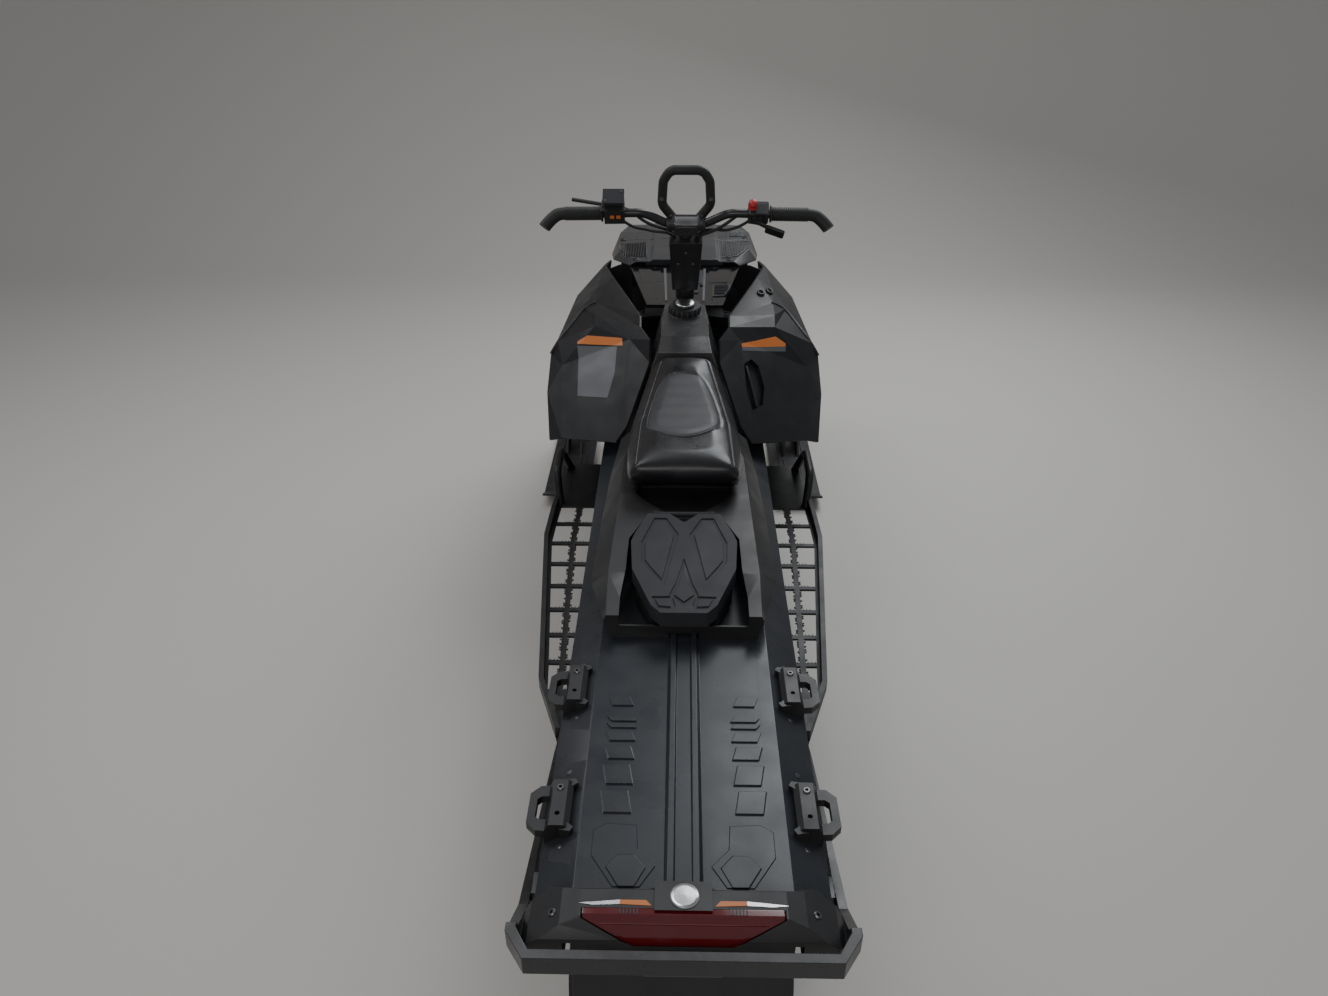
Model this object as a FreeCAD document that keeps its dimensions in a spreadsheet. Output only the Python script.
import FreeCAD, Part
import math
import os
import Sketcher

# A long-track mountain snowmobile, parked on its skis and its track.
# Frame: millimetres, +X to the rider's right, +Y forward, +Z up.
# The origin is on the floor, half way between the ski tips and the snow flap.
# Every driving size is a cell of the sheet "Sizes"; each sub-part is one object whose Label names its file.

doc = FreeCAD.newDocument("Snowmobile")

# Driving sizes: alias, value in millimetres or degrees, what it sets.
SIZES = (
    ("front_reach", 1630, "ski tips, ahead of the origin"),
    ("rear_reach", 1630, "snow flap's lower edge, behind the origin"),
    ("gap", 0.3, "gap between pieces that seat on each other"),
    ("seam", 6, "gap round a panel that opens"),
    # Tunnel: the folded sheet over the track
    ("tunnel_half", 228, "half of the tunnel's outer width"),
    ("tunnel_flat", 167, "half of the flat top between the bevels"),
    ("tunnel_top", 600, "height of the tunnel's top"),
    ("tunnel_bevel", 35, "drop of the bevels"),
    ("tunnel_sheet", 4, "tunnel wall"),
    ("tunnel_foot", 345, "lower edge of the tunnel's sides"),
    ("tunnel_tail_foot", 470, "lower edge at the tail"),
    ("tunnel_front", 575, "front end"),
    ("tunnel_rear", 1500, "rear end, behind the origin"),
    ("ridge_half", 30, "half width of the centre ridge"),
    ("ridge_rise", 11, "height of the centre ridge"),
    ("emboss_rise", 3, "height of the pressed pads"),
    ("rack_hole_x", 205, "accessory holes in the cleats, from the centre"),
    ("rack_hole_radius", 4.2, "accessory holes in the cleats"),
    # Running boards
    ("board_top", 368, "height of the running boards"),
    ("board_sheet", 6, "thickness of the boards"),
    ("board_wide", 385, "outer edge where the boards are widest"),
    ("board_tail", 324, "outer edge near the tail end"),
    ("board_front", 270, "front end"),
    ("board_rear", 965, "rear end, behind the origin"),
    ("board_rim", 20, "width of the outer rail"),
    ("board_lip", 26, "height of the outer rail"),
    ("rung_pitch", 100, "spacing of the rungs"),
    ("rung_width", 13, "width of a rung"),
    ("toe_rise", 106, "height of the toe holds above the boards"),
    ("toe_bar", 24, "thickness of the toe holds"),
    # Tail
    ("bumper_behind", 92, "back of the rear bumper, behind the tunnel's end"),
    ("bumper_half", 255, "half width of the rear bumper"),
    ("bumper_bar", 15, "thickness of the bumper's bar"),
    ("bumper_top", 618, "top of the rear bumper"),
    ("bumper_height", 36, "height of the bumper's bar"),
    ("housing_half", 236, "half width of the tail housing"),
    ("housing_rise", 36, "height of the tail housing above the tunnel"),
    ("lamp_half", 147, "half width of the tail lamp's upper edge"),
    ("flap_sheet", 8, "thickness of the snow flap"),
    ("flap_foot", 255, "lower edge of the snow flap"),
    ("cleat_length", 104, "length of a tie-down cleat"),
    ("cleat_reach", 256, "outer edge of the cleats' loops"),
    ("cleat_front", 1018, "middle of the front pair of cleats, behind the origin"),
    ("cleat_rear", 1308, "middle of the rear pair of cleats, behind the origin"),
    ("cleat_rise", 10, "top of the cleats, above the tunnel"),
    # Seat, tank and rear cover
    ("cover_rear", 872, "rear end of the rear cover, behind the origin"),
    ("cover_wall", 5, "wall of the rear cover"),
    ("bay_half", 115, "half width of the storage bay"),
    ("lid_height", 30, "thickness of the storage lid"),
    ("lid_wall", 5, "wall of the storage lid"),
    ("lid_groove", 3, "depth of the lid's grooves"),
    ("lid_pin_y", 564, "hinge pin of the lid, behind the origin"),
    ("lid_pin_rise", 9, "hinge pin of the lid, above the deck"),
    ("lid_pin_radius", 3, "hinge pin of the lid"),
    ("seat_base", 706, "height of the seat's underside"),
    ("tank_front", 300, "front end of the tank"),
    ("cap_radius", 44, "fuel cap"),
    # Bodywork
    ("hood_half", 230, "half width of the hood's top"),
    ("hood_rear", 665, "rear edge of the hood"),
    ("hood_step", 6, "height of the hood's raised middle"),
    ("hood_crown", 905, "height of the hood"),
    ("body_half", 410, "half width over the side panels"),
    ("panel_wall", 5, "wall of the body panels"),
    ("nose_reach", 1235, "front of the nose"),
    ("door_pin_x", 232, "hinge pins of the side panels, from the centre"),
    ("door_pin_y", 1096, "hinge pins of the side panels"),
    ("door_pin_radius", 4, "hinge pins of the side panels"),
    ("pin_play", 0.2, "play of the hinge pins"),
    # Chassis inside the bodywork
    ("frame_plate", 6, "plates of the front frame"),
    ("frame_floor", 206, "top of the front frame's floor"),
    ("bulkhead_half", 146, "half width over the bulkhead"),
    ("bulkhead_top", 600, "top of the bulkhead"),
    # Steering
    ("rake", 38.2, "lean of the steering post, degrees"),
    ("clamp_y", 118, "handlebar clamp, ahead of the origin"),
    ("clamp_height", 1160, "handlebar clamp, height"),
    ("post_radius", 16, "steering post"),
    ("post_length", 520, "steering post"),
    ("post_play", 0.08, "play of the post in its bush"),
    ("bar_radius", 11, "handlebar tube"),
    ("bar_rise", 46, "rise of the grips above the clamp"),
    ("bar_half", 372, "half width over the bar ends"),
    ("grip_radius", 16.5, "grips"),
    ("loop_rise", 138, "height of the grab loop above the clamp"),
    ("loop_half", 63, "half width of the grab loop, to its centre line"),
    ("loop_radius", 12, "grab loop"),
    # Front suspension
    ("caster", 20, "lean of the kingpins, degrees"),
    ("kingpin_x", 388, "kingpins, from the centre"),
    ("ski_x", 430, "skis, from the centre"),
    ("ski_bolt_y", 1060, "ski bolts, ahead of the origin"),
    ("ski_bolt_height", 115, "ski bolts"),
    ("arm_radius", 11, "tubes of the control arms"),
    ("joint_radius", 19, "ball joint housings"),
    ("leg_radius", 16, "spindle legs"),
    ("steer_arm", 100, "length of the spindles' steering arms"),
    ("tie_radius", 7, "tie rod"),
    ("shock_radius", 19, "shock bodies"),
    ("spring_radius", 31, "springs over their coils"),
    # Skis
    ("ski_half", 82, "half width of a ski"),
    ("ski_tail", 610, "tail of a ski, ahead of the origin"),
    ("ski_sheet", 9, "thickness of a ski's deck"),
    ("keel", 20, "depth of a ski's keel"),
    ("tip_rise", 165, "rise of the ski tips"),
    # Track and its suspension
    ("track_half", 203, "half width of the track"),
    ("belt", 8, "thickness of the track's belt"),
    ("lug", 64, "height of the lugs"),
    ("lug_count", 52, "rows of lugs"),
    ("idler_radius", 90, "rear idler wheels"),
    ("idler_y", 1280, "rear axle, behind the origin"),
    ("carrier_radius", 70, "carrier wheels under the upper run"),
    ("carrier_y", 430, "carrier axle, behind the origin"),
    ("sprocket_radius", 84, "drive sprockets under the belt"),
    ("drive_y", 400, "drive axle"),
    ("drive_z", 365, "drive axle"),
    ("nose_radius", 260, "curve of the slide rails' front"),
    ("rail_x", 102, "slide rails, from the centre"),
    ("rail_wall", 14, "thickness of a slide rail"),
    ("rail_rise", 62, "height of a slide rail"),
    ("wheel_width", 24, "idler wheels"),
    ("axle_radius", 12, "axles and cross shafts"),
)

sheet = doc.addObject("Spreadsheet::Sheet", "Sizes")
for row, (alias, amount, meaning) in enumerate(SIZES, start=1):
    sheet.set(f"A{row}", meaning)
    sheet.set(f"B{row}", str(amount))
    sheet.setAlias(f"B{row}", alias)
doc.recompute()


class Size(float):
    """A length or angle that remembers its expression on the sheet."""

    def __new__(cls, amount, text):
        made = super().__new__(cls, amount)
        made.text = text
        return made

    def __add__(self, other):
        return Size(float(self) + float(other), f"({self.text} + {words(other)})")

    def __radd__(self, other):
        return Size(float(other) + float(self), f"({words(other)} + {self.text})")

    def __sub__(self, other):
        return Size(float(self) - float(other), f"({self.text} - {words(other)})")

    def __rsub__(self, other):
        return Size(float(other) - float(self), f"({words(other)} - {self.text})")

    def __mul__(self, other):
        return Size(float(self) * float(other), f"({self.text} * {words(other)})")

    def __rmul__(self, other):
        return Size(float(other) * float(self), f"({words(other)} * {self.text})")

    def __truediv__(self, other):
        return Size(float(self) / float(other), f"({self.text} / {words(other)})")

    def __neg__(self):
        return Size(-float(self), f"(-1 * {self.text})")


def words(amount):
    """The expression of a size, or a plain number as text."""
    return getattr(amount, "text", f"{float(amount):.9g}")


class Sheet:
    """Reads a driving size from the sheet by its alias."""

    def __getattr__(self, alias):
        return Size(float(sheet.get(alias)), f"Sizes.{alias}")


s = Sheet()
nodes = []


# Building blocks


def vec(x, y, z):
    return FreeCAD.Vector(x, y, z)


X_AXIS = vec(1, 0, 0)
Y_AXIS = vec(0, 1, 0)
Z_AXIS = vec(0, 0, 1)


def keep(item, label):
    """Names an object as a finished sub-part."""
    item.Label = label
    nodes.append(item)
    return item


def feature(label, shape):
    """A sub-part whose shape is worked out with Part's own functions."""
    item = doc.addObject("Part::Feature", label)
    item.Shape = shape
    return keep(item, label)


def bind(item, prop, amount):
    """Ties a property of a document object to the sheet."""
    item.setExpression(prop, words(amount))


def sketch_on(body, plane, loops, offset=0):
    """A sketch of closed polygons on one of the body's own planes; corners are pairs of sizes."""
    sketch = body.newObject("Sketcher::SketchObject", f"{body.Name}Sketch")
    support = [item for item in body.Origin.OriginFeatures if item.Role == plane][0]
    sketch.AttachmentSupport = [(support, "")]
    sketch.MapMode = "FlatFace"
    bind(sketch, "AttachmentOffset.Base.z", offset)
    ties = []
    for loop in loops:
        first = sketch.GeometryCount
        count = len(loop)
        ends = [vec(float(x), float(y), 0) for x, y in loop]
        lines = [Part.LineSegment(ends[i], ends[(i + 1) % count]) for i in range(count)]
        sketch.addGeometry(lines, False)
        for i in range(count):
            ties.append((Sketcher.Constraint("Coincident", first + i, 2, first + (i + 1) % count, 1), None))
        for i, corner in enumerate(loop):
            for kind, amount in zip(("DistanceX", "DistanceY"), corner):
                tie = Sketcher.Constraint(kind, -1, 1, first + i, 1, float(amount))
                ties.append((tie, amount if isinstance(amount, Size) else None))
    numbers = sketch.addConstraint([tie for tie, _ in ties])
    for number, (_, amount) in zip(numbers, ties):
        if amount is not None:
            bind(sketch, f"Constraints[{number}]", amount)
    return sketch


def pad(body, plane, loops, offset, length):
    """A Pad of the polygons, from the offset along the plane's normal."""
    made = body.newObject("PartDesign::Pad", f"{body.Name}Pad")
    made.Profile = sketch_on(body, plane, loops, offset)
    bind(made, "Length", length)
    return made


def pocket(body, plane, loops, offset, length):
    """A Pocket of the polygons; it cuts against the plane's normal, down from the offset."""
    made = body.newObject("PartDesign::Pocket", f"{body.Name}Pocket")
    made.Profile = sketch_on(body, plane, loops, offset)
    bind(made, "Length", length)
    return made


def new_body(label):
    return keep(doc.addObject("PartDesign::Body", label), label)


def box(x0, x1, y0, y1, z0, z1):
    """A box between two corners, in any order."""
    low = vec(min(x0, x1), min(y0, y1), min(z0, z1))
    return Part.makeBox(abs(x1 - x0), abs(y1 - y0), abs(z1 - z0), low)


def rod(start, end, radius):
    run = end - start
    return Part.makeCylinder(radius, run.Length, start, run)


def polygon(points):
    return Part.makePolygon([*points, points[0]])


def plate(points, run):
    """A prism: the closed polygon pushed along the vector run."""
    return Part.Face(polygon(points)).extrude(run)


def side_plate(outline, x0, x1):
    """A prism across the machine, from an outline of (y, z) pairs."""
    return plate([vec(x0, y, z) for y, z in outline], vec(x1 - x0, 0, 0))


def plan_plate(outline, z0, z1):
    """A prism upwards, from an outline of (x, y) pairs."""
    return plate([vec(x, y, z0) for x, y in outline], vec(0, 0, z1 - z0))


def mirrored(shape):
    """The shape on the other side of the machine."""
    return shape.mirror(vec(0, 0, 0), X_AXIS)


def both(shape):
    """The shape and its mirror image, as two solids of one node."""
    return Part.makeCompound([shape, mirrored(shape)])


def fused(shapes):
    whole = shapes[0].multiFuse(shapes[1:]) if len(shapes) > 1 else shapes[0]
    whole = whole.removeSplitter()
    return whole.Solids[0] if len(whole.Solids) == 1 else whole


def bent_tube(points, radius, bend):
    """A round bar along straight runs joined by tangent arcs."""
    edges = []
    last = points[0]
    for before, corner, after in zip(points, points[1:], points[2:]):
        back, ahead = before - corner, after - corner
        shorter = min(back.Length, ahead.Length)
        back.normalize()
        ahead.normalize()
        half_turn = back.getAngle(ahead) / 2
        reach = min(bend / math.tan(half_turn), 0.45 * shorter)
        arc_radius = reach * math.tan(half_turn)
        middle = back + ahead
        middle.normalize()
        centre = corner + middle * (arc_radius / math.sin(half_turn))
        start, end = corner + back * reach, corner + ahead * reach
        edges.append(Part.makeLine(last, start))
        edges.append(Part.Arc(start, centre - middle * arc_radius, end).toShape())
        last = end
    edges.append(Part.makeLine(last, points[-1]))
    ring = Part.Wire(Part.makeCircle(radius, points[0], points[1] - points[0]))
    return Part.Wire(edges).makePipeShell([ring], True, True)


def half_section(y, rows):
    """A closed section at station y from (x, z) pairs of its right half, lowest first."""
    right = [vec(x, y, z) for x, z in rows]
    left = [vec(-x, y, z) for x, z in reversed(rows) if x > 0]
    return polygon(right + left)


def loft(sections):
    """A ruled solid through sections with as many corners each."""
    return Part.makeLoft(sections, True, True)


def skin(corners, facets, inward):
    """A panel: flat facets between named corners, and their copies moved by the vector inward, closed round the rim."""
    triangles = []
    for facet in facets:
        for second, third in zip(facet[1:], facet[2:]):
            triangles.append((facet[0], second, third))
    sides = [pair for a, b, c in triangles for pair in ((a, b), (b, c), (c, a))]
    rim = [(a, b) for a, b in sides if (b, a) not in sides]
    moved = {name: point + inward for name, point in corners.items()}
    faces = [polygon([corners[n] for n in t]) for t in triangles]
    faces += [polygon([moved[n] for n in reversed(t)]) for t in triangles]
    faces += [polygon([corners[b], corners[a], moved[a], moved[b]]) for a, b in rim]
    solid = Part.makeSolid(Part.Shell([Part.Face(wire) for wire in faces]))
    if solid.Volume < 0:
        solid.reverse()
    return solid.removeSplitter()


def grid_skin(stations, inward):
    """A panel through stations, each a row of points with as many points; facets join neighbours."""
    corners = {
        (i, k): point for i, row in enumerate(stations) for k, point in enumerate(row)
    }
    facets = []
    for i in range(len(stations) - 1):
        for k in range(len(stations[0]) - 1):
            facets.append([(i, k), (i, k + 1), (i + 1, k + 1), (i + 1, k)])
    return skin(corners, facets, inward)


def across(y, rows):
    """A station from (x, z) pairs of the right half, centre first, mirrored to the full width."""
    left = [vec(-x, y, z) for x, z in reversed(rows) if x > 0]
    return left + [vec(x, y, z) for x, z in rows]


# Tunnel, running boards and tail


# Outlines of the pressed panels near the tail: distance from the centre and behind the origin.
TAIL_PANEL = (
    (75, 1346), (124, 1343), (144, 1357), (144, 1405), (107, 1462), (67, 1462), (44, 1424), (72, 1392),
)
TAIL_PANEL_INNER = ((77, 1404), (103, 1404), (120, 1427), (99, 1462), (75, 1462), (58, 1427))


def tunnel_section():
    """The right half of the tunnel's outside, from its foot to the ridge's groove."""
    half, flat, top = s.tunnel_half, s.tunnel_flat, s.tunnel_top
    return [
        (half, s.tunnel_foot),
        (half, top - s.tunnel_bevel),
        (flat, top),
        (s.ridge_half, top),
        (s.ridge_half - 5, top + s.ridge_rise),
        (s.ridge_half / 2, top + s.ridge_rise),
        (s.ridge_half / 2 - 2, top + s.ridge_rise - 5),
    ]


def tunnel_block():
    """The whole space under the tunnel's outside, to cut what sits on it."""
    right = tunnel_section()
    outline = right + [(-x, z) for x, z in reversed(right)]
    return plate([vec(x, -s.tunnel_rear, z) for x, z in outline], vec(0, s.tunnel_front + s.tunnel_rear, 0))


def make_tunnel():
    body = new_body("tunnel")
    wall, top = s.tunnel_sheet, s.tunnel_top
    half, flat, drop = s.tunnel_half, s.tunnel_flat, s.tunnel_bevel
    right = [(half - wall, s.tunnel_foot)] + tunnel_section()
    inner = [(half - wall, top - drop - 1), (flat - 1, top - wall)]
    outline = [(-x, z) for x, z in inner] + [(x, z) for x, z in reversed(inner)]
    outline += right + [(-x, z) for x, z in reversed(right)]
    pad(body, "XZ_Plane", [outline], -s.tunnel_front, s.tunnel_front + s.tunnel_rear)
    tail = [
        (-s.board_rear, s.tunnel_foot),
        (-s.tunnel_rear - 5, s.tunnel_foot - 5),
        (-s.tunnel_rear - 5, s.tunnel_tail_foot),
        (-s.tunnel_rear + 60, s.tunnel_tail_foot),
    ]
    pocket(body, "YZ_Plane", [tail], half + 5, half * 2 + 10)
    # Pressed pads on the top: front and rear edge behind the origin, inner and outer edge.
    pads = (
        (1048, 1072, 92, 139),
        (1101, 1112, 85, 139),
        (1118, 1129, 85, 139),
        (1139, 1161, 85, 139),
        (1174, 1204, 85, 139),
        (1217, 1261, 85, 139),
        (1274, 1322, 85, 139),
    )
    loops = []
    for front, rear, near, far in pads:
        for side in (-1, 1):
            corners = ((near + 8, -front), (far, -front), (far - 8, -rear), (near, -rear))
            loops.append([(side * x, y) for x, y in corners])
    # Two large panels near the tail, each with a smaller one inside.
    for panel, rise in ((TAIL_PANEL, s.emboss_rise * 0.5), (TAIL_PANEL_INNER, s.emboss_rise)):
        for side in (-1, 1):
            hexagon = [(side * x, -y) for x, y in panel]
            pad(body, "XY_Plane", [hexagon], top, rise)
    pad(body, "XY_Plane", loops, top, s.emboss_rise)
    return body


# Outer edge of the running boards: distance of the station behind the origin, and its place
# between the narrow rear edge (0) and the widest edge (1).
BOARD_STATIONS = ((-270, 0.72), (-60, 0.85), (40, 0.95), (175, 1.0), (763, 0.0))


def board_edge(back):
    """Outer edge of the running boards at a distance behind the origin."""
    rows = BOARD_STATIONS
    for (near, first), (far, second) in zip(rows, rows[1:]):
        if back <= far:
            share = first + (second - first) * max(0.0, back - near) / (far - near)
            return s.board_tail + (s.board_wide - s.board_tail) * share
    return s.board_tail


def make_running_board(label, side):
    body = new_body(label)
    half, top, rear = s.tunnel_half, s.board_top, s.board_rear
    front = s.board_front
    edge = [(board_edge(back), -back) for back, _ in BOARD_STATIONS[1:]]
    tail = [(s.bumper_half + 14, -rear + 45), (s.bumper_half, -rear)]
    outline = [(half, -rear), (half, front), (board_edge(-front), front)] + edge + tail
    pad(body, "XY_Plane", [[(x * side, y) for x, y in outline]], top - s.board_sheet, s.board_sheet)
    # Windows between the rungs, on both sides of the middle rail.
    rim, rung, pitch = s.board_rim, s.rung_width, s.rung_pitch
    loops = []
    for number in range(8):
        ahead = pitch * number - 20 + rung / 2
        behind = pitch * (number + 1) - 20 - rung / 2
        middle = [half + (board_edge(float(back)) - half) * 0.5 for back in (ahead, behind)]
        outer = [board_edge(float(back)) - rim for back in (ahead, behind)]
        inner = half + 14
        rail = rung / 2
        loops.append([
            (inner, -ahead), (middle[0] - rail, -ahead), (middle[1] - rail, -behind), (inner, -behind)
        ])
        loops.append([
            (middle[0] + rail, -ahead), (outer[0], -ahead), (outer[1], -behind), (middle[1] + rail, -behind)
        ])
    pocket(body, "XY_Plane", [[(x * side, y) for x, y in loop] for loop in loops], top, s.board_sheet)
    lip_outer = edge + tail[:1]
    lip_inner = [(x - rim * 0.6, y) for x, y in lip_outer]
    strip = lip_outer + lip_inner[::-1]
    pad(body, "XY_Plane", [[(x * side, y) for x, y in strip]], top, s.board_lip)
    nodes.remove(body)
    body.Label = f"{label}_sheet"
    # The toe hold is a bent bar over the footrest, welded on at both ends.
    radius, hold_rear, hold_front = s.toe_bar / 2, 30, 250
    foot = board_edge(-hold_rear) - 14
    over = top + s.toe_rise - radius
    points = [
        vec(foot, hold_rear, top - 3), vec(foot + 8, hold_rear + 22, over),
        vec(foot + 10, hold_front - 60, over), vec(board_edge(-hold_front) - 16, hold_front, top - 3),
    ]
    hold = doc.addObject("Part::Feature", f"{label}_hold")
    hold.Shape = bent_tube([vec(point.x * side, point.y, point.z) for point in points], radius, 38)
    board = doc.addObject("Part::Fuse", label)
    board.Base, board.Tool = body, hold
    return keep(board, label)


def make_rear_bumper():
    body = new_body("rear_bumper")
    half, bar = s.bumper_half, s.bumper_bar
    back = -(s.tunnel_rear + s.bumper_behind)
    low, high = s.bumper_top - s.bumper_height, s.bumper_top
    front = back + 56
    outer = [(half, front), (half, back + 43), (half - 30, back)]
    inner = [(half - bar, front), (half - bar, back + 49), (half - bar - 21, back + bar)]
    loop = outer + [(-x, y) for x, y in reversed(outer)]
    loop += [(-x, y) for x, y in inner] + [(x, y) for x, y in reversed(inner)]
    pad(body, "XY_Plane", [loop], low, s.bumper_height)
    # Arms from the boards' rear ends up to the bar, beside the tunnel.
    rear, top = -s.board_rear, s.board_top
    rail = [
        (rear + 22, top), (rear + 22, top + 38), (rear - 60, top + 66),
        (front + 84, high - 74), (front + 12, high - 22), (front, high), (front - 12, low), (front + 60, low - 58),
        (rear - 70, top + 34), (rear, top),
    ]
    for start in (half - bar, -half):
        pad(body, "YZ_Plane", [rail], start, bar)
    # Brackets from the arms to the tunnel's sides.
    for ahead in (rear - 150, front + 130):
        share = (rear - 60 - ahead) / (rear - 60 - front - 84)
        middle = top + 50 + (high - 74 - top - 50) * share
        for start in (s.tunnel_half, -half + bar):
            strap = [(start, ahead - 20), (start + half - bar - s.tunnel_half, ahead - 20),
                     (start + half - bar - s.tunnel_half, ahead + 20), (start, ahead + 20)]
            pad(body, "XY_Plane", [strap], middle - 14, 18)
    return body


def housing_side(grow=0):
    """Side outline of the tail housing: front slope, flat top and the lamp's slope, as (y, z) pairs."""
    back, top, rise = s.tunnel_rear, s.tunnel_top, s.housing_rise
    return [
        (-back + 46, top - 60), (-back + 38, top + 2), (-back + 8, top + rise), (-back - 37, top + rise),
        (-back - 64, top - 3), (-back - 64, top - 60),
    ]


def lamp_prism(top_half, foot_half, near, far):
    """A prism square to the lamp's slope, between two depths above the slope."""
    (y0, z0), (y1, z1) = housing_side()[3:5]
    down = vec(0, y1 - y0, z1 - z0)
    length = down.Length
    down.normalize()
    out = vec(0, down.z, -down.y)
    start = vec(0, y0, z0) + out * near
    rows = ((top_half, -8.0), (top_half, 3.0), (foot_half, length - 5), (-foot_half, length - 5), (-top_half, 3.0), (-top_half, -8.0))
    return plate([start + vec(x, 0, 0) + down * along for x, along in rows], out * (far - near))


def make_tail_housing():
    """A cap over the tunnel's end and its bevels, with a raised middle and a recess for the lamp."""
    half, top, back, rise = s.housing_half, s.tunnel_top, s.tunnel_rear, s.housing_rise
    face = [(150, top + rise), (178, top + rise - 10), (half - 10, top - 4), (half, top - 18), (half, top - 46)]
    face = [(-x, z) for x, z in face[::-1]] + face
    across_it = plate([vec(x, -back - 70, z) for x, z in face], vec(0, 140, 0))
    plan = [(162, -back + 14), (176, -back + 38), (190, -back + 38), (210, -back + 22), (half, -back + 12),
            (half, -back - 44), (half - 12, -back - 56)]
    plan = plan + [(-x, y) for x, y in plan[::-1]]
    middle = [(-42, -back + 34), (42, -back + 34), (50, -back + 13), (-50, -back + 13)]
    outline = plan_plate(plan, top - 60, top + 60).fuse(plan_plate(middle, top - 60, top + 60)).removeSplitter()
    shape = across_it.common(side_plate(housing_side(), -half - 1, half + 1)).common(outline)
    badge = side_plate(
        [(-back + 34, top + 12), (-back + 20, top + rise + 4), (-back - 30, top + rise + 4), (-back - 36, top + rise - 1), (-back, top + 12)],
        -42, 42,
    )
    recess = lamp_prism(s.lamp_half, 74, -13, 20)
    shape = shape.fuse(badge).cut(recess).cut(tunnel_block())
    # Nothing hangs below the sheet behind the tunnel's end, where the snow flap passes.
    under = box(-s.tunnel_flat - 6, s.tunnel_flat + 6, -back - 80, -back, top - 70, top + s.gap)
    return feature("tail_housing", shape.cut(under).removeSplitter())


def make_tail_lamp():
    return feature("tail_lamp", lamp_prism(s.lamp_half - 2, 72, -13, -3).common(side_plate(housing_side(), -300, 300)))


def make_snow_flap():
    body = new_body("snow_flap")
    under = s.tunnel_top - s.tunnel_sheet
    back, sheet_wall = s.tunnel_rear, s.flap_sheet
    bend = -back - s.bumper_behind + s.bumper_bar + 36
    outline = [
        (-back + 60, under), (bend, under), (bend, under - 36),
        (-s.rear_reach, s.flap_foot), (-s.rear_reach + sheet_wall, s.flap_foot),
        (bend + sheet_wall, under - 36), (bend + sheet_wall, under - sheet_wall - 2),
        (-back + 60, under - sheet_wall - 2),
    ]
    half = s.tunnel_flat - 4
    pad(body, "YZ_Plane", [outline], -half, half * 2)
    return body


def make_cleats():
    """Four tie-down cleats on the tunnel's bevels: a spine with two feet, an outward ring and a blind accessory hole."""
    top, half, reach = s.tunnel_top, s.tunnel_half, s.cleat_reach
    long, high = s.cleat_length / 2, s.tunnel_top + s.cleat_rise
    under = tunnel_block()
    shapes = []
    for middle in (-s.cleat_front, -s.cleat_rear):
        spine = [(184, top - 30), (half - 2, top - 36), (half - 2, high - 18), (217, high), (193, high), (184, high - 8)]
        pieces = [plate([vec(x, middle - long + 4, z) for x, z in spine], vec(0, 2 * long - 8, 0))]
        for way in (-1, 1):
            foot = [(200, long), (182, long + 3), (177, long - 6), (187, long - 14), (200, long - 16)]
            pieces.append(plan_plate([(x, middle + way * y) for x, y in foot], top - 30, high - 5))
        ring = [(214, long - 4), (reach - 16, long - 6), (reach, long - 22), (reach, 22 - long), (reach - 16, 6 - long), (214, 4 - long)]
        hole = [(222, 24), (reach - 20, 24), (reach - 13, 18), (reach - 13, -18), (reach - 20, -24), (222, -24)]
        pieces.append(plan_plate([(x, middle + y) for x, y in ring], high - 30, high - 15))
        shape = fused(pieces).cut(plan_plate([(x, middle + y) for x, y in hole], high - 60, high - 10))
        screw = vec(s.rack_hole_x, middle - 23, high - 24)
        shape = shape.cut(rod(screw, screw + vec(0, 0, 40), s.rack_hole_radius)).cut(under)
        shapes += [shape, mirrored(shape)]
    return feature("tie_down_cleats", Part.makeCompound(shapes))


# Seat, tank, rear cover and storage


COVER_STATIONS = (
    # place behind the origin, half width at the foot, at the widest line and at the deck, height of the widest line and the deck over the tunnel
    (110, 160, 168, 112, 60, 106),
    (300, 172, 185, 148, 50, 106),
    (478, 178, 191, 150, 50, 106),
    (745, 176, 198, 160, 48, 72),
    (872, 150, 162, 157, 44, 56),
)


def deck_height(back):
    """Height of the rear cover's deck at a distance behind the origin."""
    rows = COVER_STATIONS
    for near, far in zip(rows, rows[1:]):
        if back <= far[0] or far is rows[-1]:
            share = (back - near[0]) / (far[0] - near[0])
            return s.tunnel_top + near[5] + (far[5] - near[5]) * share


def lid_outline(grow):
    """Plan outline of the storage lid, right half from the front, grown by a seam."""
    half = s.bay_half + grow
    return [
        (0, -604 + grow), (32, -574 + grow), (half - 34, -574 + grow), (half - 8, -640), (half, -668),
        (half - 6, -756), (half - 48, -862 - grow), (half - 68, -884 - grow), (0, -884 - grow),
    ]


def closed_plan(right):
    """The whole plan outline from its right half, whose first and last corners lie on the centre plane."""
    return right + [(-x, y) for x, y in reversed(right[1:-1])]


# The sunken part of the deck between the seat and the lid, right half from the front.
DIP = ((0, -420), (112, -420), (116, -478), (92, -508), (30, -566), (0, -580))


def cover_block(inset):
    """The rear cover's outside, or its hollow when inset by the wall."""
    sections = []
    last = COVER_STATIONS[-1][0]
    for back, low_half, wide_half, deck_half, wide, deck in COVER_STATIONS:
        y = -back + (inset if back == last else -inset if back == COVER_STATIONS[0][0] else 0)
        foot = s.tunnel_top - (1 if inset else 0)
        rows = [
            (low_half - inset, foot), (wide_half - inset, s.tunnel_top + wide),
            (deck_half - inset, s.tunnel_top + deck - inset),
        ]
        sections.append(half_section(y, rows))
    return loft(sections)


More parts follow.
